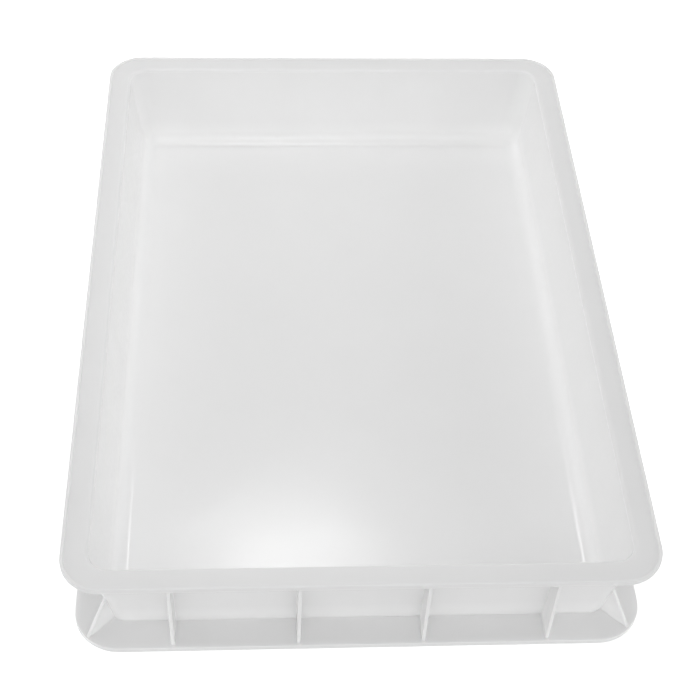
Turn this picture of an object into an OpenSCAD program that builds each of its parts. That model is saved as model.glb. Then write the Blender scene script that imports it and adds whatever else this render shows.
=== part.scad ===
// Dough proofing container: a shallow, stackable tray moulded in one piece of natural polypropylene.
// Four leaning walls stand on a base plate that runs out past them as a ledge. A flat rim goes round
// the mouth, and upright ribs join the rim to the ledge. Each named part is a region of that moulding.
// Millimetres. The origin is the centre of the underside. X is the width, Y the length, Z is up.

/* [Overall] */
// Width over the rim
rim_w = 457.2; // [380:0.1:560]
// Length over the rim
rim_l = 660.4; // [520:0.1:760]
// Height from the foot to the top of the stacking lip
height = 88.9; // [70:0.1:130]

/* [Rim] */
// Width of the rim, from its outer edge to the mouth
flange_w = 20.9; // [16:0.1:26]
// Thickness of the rim's flat flange
flange_t = 3.3; // [2.4:0.1:4.5]
// Corner radius of the rim's outer edge
rim_corner_r = 32; // [24:0.5:42]
// How far the rim's upright edge stands above the flange, as a stacking lip
lip_h = 1.7; // [1:0.1:3]
// Thickness of that edge
lip_w = 2.4; // [1.8:0.1:3.6]
// Play on each side between the lip and the foot of a container stacked on it
stack_clearance = 0.8; // [0.4:0.1:1.5]

/* [Walls] */
// Thickness of the walls
wall_t = 3.2; // [2.2:0.1:4]
// Lean of the walls from upright, in degrees
wall_draft = 8; // [4:0.5:10]
// Corner radius of the mouth
mouth_corner_r = 16; // [14:0.5:22]
// Radius between the walls and the floor, and of the tray's lower corners
fillet_r = 13; // [8:0.5:14]

/* [Base] */
// Thickness of the base plate
base_t = 3; // [2.2:0.1:4.5]
// Corner radius of the base plate
base_corner_r = 37; // [33:0.5:44]
// Height of the foot rim that turns down round the base plate
foot_h = 1.8; // [1:0.1:3]
// Width of the foot rim
foot_w = 3.2; // [2.4:0.1:6]

/* [Ribs] */
// Thickness of the ribs
rib_t = 3; // [2:0.1:4]
// How far the ribs stop short of the base plate's edge, at their foot
rib_foot_setback = 2.5; // [0.5:0.1:4]
// How far the ribs stop short of the rim's edge, at their top
rib_top_setback = 2; // [0.5:0.1:4]
// Number of ribs on each end
end_rib_count = 4; // [2:1:5]
// Distance from the rim's long edge to the nearest rib of an end
end_rib_margin = 81.6; // [70:0.1:110]
// Number of ribs on each long side
side_rib_count = 7; // [2:1:9]
// Distance from the rim's short edge to the nearest rib of a long side
side_rib_margin = 87; // [70:0.1:120]
// How far the corner gussets stop short of the base plate's corner
gusset_setback = 1.5; // [0.5:0.1:4]
// Slope of the corner gussets' outer edge above the ledge, in degrees
gusset_slope = 57; // [45:1:65]

/* [Hidden] */

natural_pp = [0.90, 0.91, 0.91];
curve_fn = 96;
hull_fn = 32;
// Thickness of the slices that a leaning solid is stretched between
slice_t = 0.01;
// How far a cut runs past the surface that it opens
overrun = 1;

flange_top = height - lip_h;
flange_under = flange_top - flange_t;
floor_top = foot_h + base_t;
wall_lean = (flange_under - floor_top) * tan(wall_draft);
wall_across = wall_t / cos(wall_draft);
mouth_w = rim_w - 2 * flange_w;
mouth_l = rim_l - 2 * flange_w;
base_inset = lip_w + stack_clearance;
base_w = rim_w - 2 * base_inset;
base_l = rim_l - 2 * base_inset;
// Height of the fillet's centre, and how far that centre lies inside the mouth's outline
fillet_z = floor_top + fillet_r;
fillet_inset = (flange_under - fillet_z) * tan(wall_draft) + fillet_r / cos(wall_draft);

// Rounded rectangle about the origin, of size w by l
module rounded_rect(w, l, r) {
    square([w, l - 2 * r], center = true);
    square([w - 2 * r, l], center = true);
    for (sx = [-1, 1], sy = [-1, 1]) {
        translate([sx * (w / 2 - r), sy * (l / 2 - r)])
            circle(r = r, $fn = curve_fn);
    }
}

// Rounded plate from z up to z + t
module slab(w, l, r, z, t) {
    translate([0, 0, z])
        linear_extrude(height = t)
            rounded_rect(w, l, r);
}

// Flat ring between two rounded outlines that lie band apart
module ring(w, l, r, band, z, t) {
    translate([0, 0, z])
        linear_extrude(height = t)
            difference() {
                rounded_rect(w, l, r);
                rounded_rect(w - 2 * band, l - 2 * band, r - band);
            }
}

// Everything inside the walls' outer faces, from the base plate to the underside of the rim
module wall_block() {
    hull() {
        slab(
            mouth_w + 2 * (wall_across - wall_lean), mouth_l + 2 * (wall_across - wall_lean),
            fillet_r + wall_t, floor_top, slice_t, $fn = hull_fn
        );
        slab(
            mouth_w + 2 * wall_across, mouth_l + 2 * wall_across,
            mouth_corner_r + wall_t, flange_under - slice_t, slice_t, $fn = hull_fn
        );
    }
}

// The tray's hollow: it narrows from the mouth to a ball at each lower corner
module hollow() {
    hull() {
        slab(mouth_w, mouth_l, mouth_corner_r, flange_under, overrun);
        for (sx = [-1, 1], sy = [-1, 1]) {
            translate([sx * (mouth_w / 2 - fillet_inset), sy * (mouth_l / 2 - fillet_inset), fillet_z])
                sphere(r = fillet_r, $fn = 2 * hull_fn);
        }
    }
    // Clears the flat floor between the fillets
    translate([
        -(mouth_w / 2 - fillet_inset + overrun),
        -(mouth_l / 2 - fillet_inset + overrun),
        floor_top - overrun
    ])
        cube([
            mouth_w - 2 * (fillet_inset - overrun),
            mouth_l - 2 * (fillet_inset - overrun),
            fillet_r
        ]);
}

module base_plate() {
    color(natural_pp)
        slab(base_w, base_l, base_corner_r, foot_h, base_t);
}

module foot_rim() {
    color(natural_pp)
        ring(base_w, base_l, base_corner_r, foot_w, 0, foot_h);
}

module walls() {
    color(natural_pp)
        difference() {
            wall_block();
            hollow();
        }
}

// The flat seat between the mouth and the rim's upright edge
module rim_flange() {
    color(natural_pp)
        difference() {
            slab(rim_w - 2 * lip_w, rim_l - 2 * lip_w, rim_corner_r - lip_w, flange_under, flange_t);
            slab(mouth_w, mouth_l, mouth_corner_r, flange_under - overrun, flange_t + 2 * overrun);
        }
}

// The rim's upright edge: it closes the flange outside and stands above it
module stacking_lip() {
    color(natural_pp)
        ring(rim_w, rim_l, rim_corner_r, lip_w, flange_under, flange_t + lip_h);
}

// One rib, standing in the plane x = 0 on the end whose rim is half_rim from the centre. It reaches
// from the wall out to a line between the base plate's edge and the rim's edge.
module rib(half_rim) {
    wall_top = half_rim - flange_w + wall_across;
    rotate([90, 0, 90])
        linear_extrude(height = rib_t, center = true)
            polygon([
                [wall_top - wall_lean, floor_top],
                [half_rim - base_inset - rib_foot_setback, floor_top],
                [half_rim - rib_top_setback, flange_under],
                [wall_top, flange_under]
            ]);
}

// A row of count ribs spread between -span / 2 and span / 2
module rib_row(count, span, half_rim) {
    for (i = [0 : count - 1]) {
        translate([span * (i / (count - 1) - 0.5), 0, 0])
            rib(half_rim);
    }
}

module end_ribs() {
    color(natural_pp)
        for (turn = [0, 180]) {
            rotate([0, 0, turn])
                rib_row(end_rib_count, rim_w - 2 * end_rib_margin, rim_l / 2);
        }
}

module side_ribs() {
    color(natural_pp)
        for (turn = [90, 270]) {
            rotate([0, 0, turn])
                rib_row(side_rib_count, rim_l - 2 * side_rib_margin, rim_w / 2);
        }
}

// A three-sided web on the ledge's diagonal, from near the base plate's corner back to the wall
module gusset() {
    reach = base_corner_r - gusset_setback;
    rotate([90, 0, 0])
        linear_extrude(height = rib_t, center = true)
            polygon([
                [0, floor_top],
                [reach, floor_top],
                [0, floor_top + reach * tan(gusset_slope)]
            ]);
}

module corner_gussets() {
    color(natural_pp)
        difference() {
            for (sx = [-1, 1], sy = [-1, 1]) {
                translate([sx * (base_w / 2 - base_corner_r), sy * (base_l / 2 - base_corner_r), 0])
                    rotate([0, 0, atan2(sy, sx)])
                        gusset();
            }
            wall_block();
        }
}

base_plate();
foot_rim();
walls();
rim_flange();
stacking_lip();
end_ribs();
side_ribs();
corner_gussets();
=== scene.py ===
"""Dough proofing container: a shallow stackable tray moulded in one piece of natural polypropylene."""

import math

import bmesh
import bpy
from mathutils import Matrix, Vector


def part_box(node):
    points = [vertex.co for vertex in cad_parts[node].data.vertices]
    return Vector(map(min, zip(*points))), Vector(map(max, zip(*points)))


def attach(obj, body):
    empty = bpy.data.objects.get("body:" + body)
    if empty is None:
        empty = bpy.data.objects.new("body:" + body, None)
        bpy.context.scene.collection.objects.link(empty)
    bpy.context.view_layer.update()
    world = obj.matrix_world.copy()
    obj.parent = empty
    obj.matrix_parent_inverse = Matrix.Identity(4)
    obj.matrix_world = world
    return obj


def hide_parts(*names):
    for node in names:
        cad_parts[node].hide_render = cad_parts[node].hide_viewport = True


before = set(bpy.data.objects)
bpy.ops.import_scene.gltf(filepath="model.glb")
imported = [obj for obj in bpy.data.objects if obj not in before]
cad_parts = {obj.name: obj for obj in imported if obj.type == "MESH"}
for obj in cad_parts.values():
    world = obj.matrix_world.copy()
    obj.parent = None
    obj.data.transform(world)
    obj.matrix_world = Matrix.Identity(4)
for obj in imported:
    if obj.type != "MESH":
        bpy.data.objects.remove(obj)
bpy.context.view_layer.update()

# Tray shell
# The real body is one shot of polypropylene. Base plate, foot rim, leaning walls, flat rim and
# stacking lip run into each other with no seam, so one closed skin is drawn out through all of them.
lip_top, rim_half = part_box("stacking_lip")[1].z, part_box("stacking_lip")[1].xy
rim_under, rim_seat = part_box("rim_flange")[0].z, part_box("rim_flange")[1].z
wall_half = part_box("walls")[1].xy
plate_under, floor_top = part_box("base_plate")[0].z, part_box("base_plate")[1].z
base_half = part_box("base_plate")[1].xy
rim_width = 0.0209
rim_corner = 0.032
lip_thick = 0.0024
wall_thick = 0.0032
wall_draft = math.radians(8)
wall_rise = rim_under - floor_top
wall_lean = wall_rise * math.tan(wall_draft)
mouth_corner = 0.016
mouth_round = 0.003
floor_corner = 0.013
floor_fillet = 0.013
base_corner = 0.037
foot_width = 0.0032
corner_steps = 15


def less(half, inset):
    return half - Vector((inset, inset))


def outline(half, corner, z):
    """Points of a rounded rectangle at height z, counter-clockwise seen from above."""
    points = []
    for quarter, (sx, sy) in enumerate(((1, 1), (-1, 1), (-1, -1), (1, -1))):
        centre = Vector((sx * (half.x - corner), sy * (half.y - corner), z))
        for step in range(corner_steps + 1):
            turn = math.radians(90) * (quarter + step / corner_steps)
            points.append(centre + corner * Vector((math.cos(turn), math.sin(turn), 0)))
    return points


def draw_out(bm, outlines):
    """Closed skin through the outlines: the face on the first is extruded along all the others."""
    cap = bm.faces.new([bm.verts.new(p) for p in outlines[0]])
    for count, goal in enumerate(outlines[1:]):
        made = bmesh.ops.extrude_face_region(bm, geom=[cap])["geom"]
        if count:
            bmesh.ops.delete(bm, geom=[cap], context="FACES_ONLY")
        cap = next(g for g in made if isinstance(g, bmesh.types.BMFace))
        for vert, place in zip(list(cap.verts), goal):
            vert.co = place
    bmesh.ops.recalc_face_normals(bm, faces=bm.faces)


def along(bm, points):
    """The edges that run along an outline."""
    near = 1e-6
    on = {v for v in bm.verts if any((v.co - p).length < near for p in points)}
    return [e for e in bm.edges if on.issuperset(e.verts)]


def turn_of(edge):
    """Signed angle that the surface turns through at an edge: positive on a ridge, negative in a valley."""
    return edge.calc_face_angle_signed(0)


def round_edges(bm, edges, radius, steps):
    """Rolls a round of the given radius along the edges, which all turn through about one angle."""
    bend = max(abs(turn_of(e)) for e in edges)
    bmesh.ops.bevel(
        bm, geom=edges, offset=radius * math.tan(bend / 2), offset_type="OFFSET", affect="EDGES",
        segments=steps, profile=0.5, material=-1, clamp_overlap=False,
    )


# Half size, corner radius and height of each outline, then the radius of the round on its edge and the
# round's steps. They go from the underside out and up over the lip, then down the inside to the floor.
skin = (
    (less(base_half, foot_width), base_corner - foot_width, plate_under, 0.0005, 2),
    (less(base_half, foot_width), base_corner - foot_width, 0, 0.0005, 2),
    (base_half, base_corner, 0, 0.0006, 2),
    (base_half, base_corner, floor_top, 0.0006, 3),
    (less(wall_half, wall_lean), floor_corner + wall_thick, floor_top, 0, 0),
    (wall_half, mouth_corner + wall_thick, rim_under, 0, 0),
    (rim_half, rim_corner, rim_under, 0.0006, 2),
    (rim_half, rim_corner, lip_top, 0.0009, 3),
    (less(rim_half, lip_thick), rim_corner - lip_thick, lip_top, 0.0007, 3),
    (less(rim_half, lip_thick), rim_corner - lip_thick, rim_seat, 0.0007, 2),
    (less(rim_half, rim_width), mouth_corner, rim_seat, mouth_round, 5),
    (less(rim_half, rim_width), mouth_corner, rim_under, 0, 0),
    (less(rim_half, rim_width + wall_lean), floor_corner, floor_top, floor_fillet, 10),
)
container = bmesh.new()
draw_out(container, [outline(half, corner, z) for half, corner, z, _, _ in skin])
for half, corner, z, radius, steps in skin:
    if radius:
        round_edges(container, along(container, outline(half, corner, z)), radius, steps)

# Ribs and corner gussets
# Thin upright webs of the same shot brace the rim against the ledge, four on each end and seven on
# each long side, with a three-sided web across each corner of the ledge.
web_thick = 0.003
sunk = 0.0016
ledge = rim_half.x - base_half.x
rib_foot_setback = 0.0025
rib_top_setback = 0.002
end_ribs, end_rib_margin = 4, 0.0816
side_ribs, side_rib_margin = 7, 0.087
end_span = 2 * (rim_half.x - end_rib_margin)
side_span = 2 * (rim_half.y - side_rib_margin)
gusset_setback = 0.0015
gusset_slope = math.radians(57)


def web(bm, profile, place):
    """A plate with this profile of (outwards, up) points, put where place says."""
    face = bm.faces.new([bm.verts.new((-web_thick / 2, out, up)) for out, up in profile])
    made = bmesh.ops.extrude_face_region(bm, geom=[face])["geom"]
    far = [g for g in made if isinstance(g, bmesh.types.BMVert)]
    bmesh.ops.translate(bm, verts=far, vec=(web_thick, 0, 0))
    bmesh.ops.transform(bm, verts=[*face.verts, *far], matrix=place)


def rib_row(bm, count, span, turn, rim, wall):
    """Ribs along one side of the tray, each sunk a little into the wall, the ledge and the rim."""
    foot = rim - ledge - rib_foot_setback
    top = rim - rib_top_setback
    profile = (
        (wall - wall_lean - sunk, floor_top - sunk), (foot, floor_top - sunk), (foot, floor_top),
        (top, rim_under), (top, rim_under + sunk), (wall - sunk, rim_under + sunk),
    )
    for i in range(count):
        aside = span * (i / (count - 1) - 0.5)
        web(bm, profile, Matrix.Rotation(turn, 4, "Z") @ Matrix.Translation((aside, 0, 0)))


webs = bmesh.new()
for quarter in (0, 2):
    rib_row(webs, end_ribs, end_span, math.radians(90 * quarter), rim_half.y, wall_half.y)
for quarter in (1, 3):
    rib_row(webs, side_ribs, side_span, math.radians(90 * quarter), rim_half.x, wall_half.x)


def wall_reach(lift):
    """How far the walls' outer corner stands from the ledge corner's centre, lift of the way up."""
    corner = wall_thick + floor_corner + lift * (mouth_corner - floor_corner)
    centre = wall_half.x - wall_lean * (1 - lift) - corner
    return (centre - (base_half.x - base_corner)) * math.sqrt(2) + corner


gusset_reach = base_corner - gusset_setback
# How far above the ledge the gusset's sloped edge meets the leaning corner of the walls.
meets = (gusset_reach - wall_reach(0)) / (
    (wall_reach(1) - wall_reach(0)) / wall_rise + 1 / math.tan(gusset_slope)
)
gusset_profile = (
    (wall_reach(0) - sunk, floor_top - sunk), (gusset_reach, floor_top - sunk), (gusset_reach, floor_top),
    (wall_reach(meets / wall_rise) - sunk, floor_top + meets + sunk * math.tan(gusset_slope)),
)
for sx in (-1, 1):
    for sy in (-1, 1):
        corner_centre = Vector((sx * (base_half.x - base_corner), sy * (base_half.y - base_corner), 0))
        outwards = Matrix.Rotation(math.atan2(sy, sx) - math.radians(90), 4, "Z")
        web(webs, gusset_profile, Matrix.Translation(corner_centre) @ outwards)
bmesh.ops.recalc_face_normals(webs, faces=webs.faces)


def to_object(bm, name):
    mesh = bpy.data.meshes.new(name)
    bm.to_mesh(mesh)
    bm.free()
    made = bpy.data.objects.new(name, mesh)
    bpy.context.scene.collection.objects.link(made)
    return made


body = to_object(container, "container")
web_body = to_object(webs, "webs")
join = body.modifiers.new("join", "BOOLEAN")
join.operation = "UNION"
join.solver = "EXACT"
join.object = web_body
one_shot = bpy.data.meshes.new_from_object(body.evaluated_get(bpy.context.evaluated_depsgraph_get()))
body.modifiers.clear()
body.data = one_shot
bpy.data.objects.remove(web_body)

# The roots where webs and walls meet the ledge and rim are rounded first, then the webs' free edges.
edge_round = 0.0006
root_round = 0.0005
web_round_steps = 3
long_edge = 0.01
steep = math.radians(60)


def under_rim(edge):
    """True for an edge between ledge and rim. The tray's inside has no sharp edge left at these heights."""
    near = 1e-5
    return all(floor_top - near < v.co.z < rim_under + near for v in edge.verts)


container = bmesh.new()
container.from_mesh(one_shot)
roots = [e for e in container.edges if under_rim(e) and turn_of(e) < -steep]
round_edges(container, roots, root_round, web_round_steps)
free_edges = [
    e for e in container.edges
    if under_rim(e) and turn_of(e) > steep and abs(e.verts[0].co.z - e.verts[1].co.z) > long_edge
]
round_edges(container, free_edges, edge_round, web_round_steps)
for face in container.faces:
    face.smooth = True
container.to_mesh(one_shot)
container.free()
weigh = body.modifiers.new("weigh", "WEIGHTED_NORMAL")
weigh.keep_sharp = True

# Natural polypropylene
# Unpigmented and milky, so light spreads a few millimetres inside it. Shade is painted into its colour: the
# walls greyer upwards and the rim greyer still, as thin skins over shadow, and the middle of the base
# greyer than its edges, so that the floor by the walls and the fillets look lit by light coming through the
# walls.
# The tray is polished, its rim has a fine grain.
natural = bpy.data.materials.new("natural_polypropylene")
natural.use_nodes = True
tree = natural.node_tree
plastic = tree.nodes["Principled BSDF"]
plastic.inputs["IOR"].default_value = 1.49
plastic.inputs["Subsurface Weight"].default_value = 0.6
plastic.inputs["Subsurface Radius"].default_value = (1, 1, 1)
plastic.inputs["Subsurface Scale"].default_value = 0.006
place = tree.nodes.new("ShaderNodeTexCoord").outputs["Object"]
pale_tone = 0.97
painted_shade_tone = 0.75
fillet_start, fillet_end = 0.008, 0.028
mouth_start, mouth_end = rim_seat - mouth_round, rim_seat - 0.001
noise_low, noise_high = 0.3, 0.7
floor_polish, wall_polish = 0.18, 0.23
rim_grain = 0.19


def noise(scale, detail):
    """Noise that stays with the piece, from 0 to 1, with this many lumps in a metre."""
    made = tree.nodes.new("ShaderNodeTexNoise")
    made.inputs["Scale"].default_value = scale
    made.inputs["Detail"].default_value = detail
    tree.links.new(place, made.inputs["Vector"])
    return made.outputs["Fac"]


def spread(value, low, high, start, end):
    """The value from low to high, stretched to run from start to end and held there beyond them."""
    made = tree.nodes.new("ShaderNodeMapRange")
    for name, number in (("From Min", low), ("From Max", high), ("To Min", start), ("To Max", end)):
        made.inputs[name].default_value = number
    tree.links.new(value, made.inputs["Value"])
    return made.outputs["Result"]


def plus(a, b):
    made = tree.nodes.new("ShaderNodeMath")
    tree.links.new(a, made.inputs[0])
    tree.links.new(b, made.inputs[1])
    return made.outputs["Value"]


def raised(height, depth, under=None):
    """A bump as deep as the height's full range, over another one where it is given."""
    made = tree.nodes.new("ShaderNodeBump")
    made.inputs["Strength"].default_value = 1
    made.inputs["Distance"].default_value = depth
    tree.links.new(height, made.inputs["Height"])
    if under:
        tree.links.new(under, made.inputs["Normal"])
    return made.outputs["Normal"]


axes = tree.nodes.new("ShaderNodeSeparateXYZ")
tree.links.new(place, axes.inputs["Vector"])
up = axes.outputs["Z"]
# How far out a place lies, from 0 in the middle of the base to 1 at the walls.
from_middle = tree.nodes.new("ShaderNodeMapping")
from_middle.inputs["Scale"].default_value = (1 / wall_half.x, 1 / wall_half.y, 0)
tree.links.new(place, from_middle.inputs["Vector"])
reach = tree.nodes.new("ShaderNodeVectorMath")
reach.operation = "LENGTH"
tree.links.new(from_middle.outputs["Vector"], reach.inputs[0])
# How grey each place is painted, from 0 for the pale tone to 1 for the painted shade tone. The grey is
# mostly painted shade, with a little random cloudiness of the plastic.
# Painted shade: the walls are painted greyer upwards, as thin skins with shadow behind them.
painted_wall_shade = plus(spread(up, fillet_start, fillet_end, 0, 0.4), spread(up, fillet_end, rim_seat, 0, 0.3))
# Painted shade: the rim is painted greyer still, as a thin skin over its own shadow.
painted_rim_shade = spread(up, mouth_start, mouth_end, 0, 0.38)
# Painted light and shade: the middle of the base is painted greyer than its edges, so the floor by the
# walls and the fillets look lit by light coming through the walls.
painted_middle_shade = spread(reach.outputs["Value"], 0.3, 1, 0.23, 0)
clouds = spread(noise(11, 3), noise_low, noise_high, 0, 0.06)
tone_and_painted_shade = tree.nodes.new("ShaderNodeValToRGB")
for stop, shade in zip(tone_and_painted_shade.color_ramp.elements, (pale_tone, painted_shade_tone)):
    stop.color = (shade, shade, shade, 1)
tree.links.new(plus(plus(painted_wall_shade, painted_rim_shade), plus(painted_middle_shade, clouds)), tone_and_painted_shade.inputs["Fac"])
tree.links.new(tone_and_painted_shade.outputs["Color"], plastic.inputs["Base Color"])
polish = spread(up, floor_top, floor_top + 0.005, floor_polish, wall_polish)
patches = spread(noise(240, 2), noise_low, noise_high, 0, 0.04)
grain = plus(spread(up, mouth_start, mouth_end, 0, rim_grain), patches)
tree.links.new(plus(polish, grain), plastic.inputs["Roughness"])
waves = raised(noise(16, 1), 0.0004)
tree.links.new(raised(noise(1400, 1), 0.000004, waves), plastic.inputs["Normal"])
body.data.materials.clear()
body.data.materials.append(natural)
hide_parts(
    "base_plate", "foot_rim", "walls", "rim_flange", "stacking_lip", "end_ribs", "side_ribs",
    "corner_gussets",
)
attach(body, "root")

# Floor
# A sheet of white paper. Where the camera sees it, a lift brings it to plain white and leaves it the
# tray's soft shadow. The lift lights nothing.
paper_side = 12
bpy.ops.mesh.primitive_plane_add(size=paper_side)
floor = bpy.context.object
floor.name = "floor"
paper = bpy.data.materials.new("paper")
paper.use_nodes = True


def seen_rays(tree):
    """1 for rays that carry the picture (camera, gloss, clear plastic), 0 for rays that light things."""
    path = tree.nodes.new("ShaderNodeLightPath")
    seen = path.outputs["Is Camera Ray"]
    for name in ("Is Glossy Ray", "Is Transmission Ray"):
        either = tree.nodes.new("ShaderNodeMath")
        either.operation = "MAXIMUM"
        tree.links.new(seen, either.inputs[0])
        tree.links.new(path.outputs[name], either.inputs[1])
        seen = either.outputs["Value"]
    return seen


paper_white = 0.9
paper_lift = 0.5
lift = paper.node_tree.nodes.new("ShaderNodeMath")
lift.operation = "MULTIPLY"
lift.inputs[1].default_value = paper_lift
paper.node_tree.links.new(seen_rays(paper.node_tree), lift.inputs[0])
sheet = paper.node_tree.nodes["Principled BSDF"]
sheet.inputs["Base Color"].default_value = (paper_white, paper_white, paper_white, 1)
sheet.inputs["Roughness"].default_value = 0.9
sheet.inputs["Emission Color"].default_value = (1, 1, 1, 1)
paper.node_tree.links.new(lift.outputs["Value"], sheet.inputs["Emission Strength"])
floor.data.materials.append(paper)

# Studio light
# A white tent, stronger round the sides than overhead, with a dim box behind, in front and on each
# side, two gridded ones over the tray and a small lamp whose glow stands on the tray's floor.
tent_side = 1.21
tent_top = 0.2
world = bpy.data.worlds.new("tent")
bpy.context.scene.world = world
world.use_nodes = True
tent = world.node_tree
towards = tent.nodes.new("ShaderNodeSeparateXYZ")
tent.links.new(tent.nodes.new("ShaderNodeTexCoord").outputs["Generated"], towards.inputs["Vector"])
fall = tent.nodes.new("ShaderNodeMapRange")
fall.inputs["To Min"].default_value = tent_side
fall.inputs["To Max"].default_value = tent_top
tent.links.new(towards.outputs["Z"], fall.inputs["Value"])
level = tent.nodes.new("ShaderNodeMapRange")
level.inputs["To Max"].default_value = 1
tent.links.new(seen_rays(tent), level.inputs["Value"])
tent.links.new(fall.outputs["Result"], level.inputs["To Min"])
tent.nodes["Background"].inputs["Color"].default_value = (1, 1, 1, 1)
tent.links.new(level.outputs["Result"], tent.nodes["Background"].inputs["Strength"])


def softbox(name, place, width, depth, watts, aim=(0, 0, 0), spread_angle=180):
    """A flat box of light that faces its aim, with a grid over it where its spread is under 180 degrees."""
    data = bpy.data.lights.new(name, "AREA")
    data.shape = "RECTANGLE"
    data.size, data.size_y = width, depth
    data.energy = watts
    data.spread = math.radians(spread_angle)
    lamp = bpy.data.objects.new(name, data)
    bpy.context.scene.collection.objects.link(lamp)
    lamp.location = place
    lamp.rotation_euler = (Vector(aim) - lamp.location).to_track_quat("-Z", "Y").to_euler()


softbox("glow_lamp", (-0.04, 0.57, 1.22), 0.25, 0.25, 1.5)
softbox("back_box", (0, 0.59, 1.81), 0.8, 0.8, 4.4)
softbox("front_box", (0, -1.34, 1.49), 0.8, 0.8, 3.8)
softbox("left_box", (-1.85, 0, 0.75), 0.8, 0.8, 3)
softbox("right_box", (1.85, 0, 0.75), 0.8, 0.8, 2.7)
softbox("gridded_box", (-0.45, -0.9, 1.7), 0.6, 0.6, 0.1, (-0.08, 0.3, 0), 22)
softbox("gridded_strip", (-0.2, 0, 1.8), 0.2, 0.6, 0.026, (-0.2, 0, 0), 25)

# Camera
# At the photograph's place and lens: above the front of the tray, a little to the left.
photo_side = 700
photo_focal = 1504
camera_place = (-0.07536, -0.96617, 1.01841)
camera_turn = (43.4, -2.10, -2.61)
camera_data = bpy.data.cameras.new("camera")
camera_data.sensor_width = 36
camera_data.lens = photo_focal / photo_side * camera_data.sensor_width
camera = bpy.data.objects.new("camera", camera_data)
bpy.context.scene.collection.objects.link(camera)
camera.location = camera_place
camera.rotation_euler = [math.radians(turn) for turn in camera_turn]
bpy.context.scene.camera = camera
bpy.context.scene.view_settings.view_transform = "Standard"
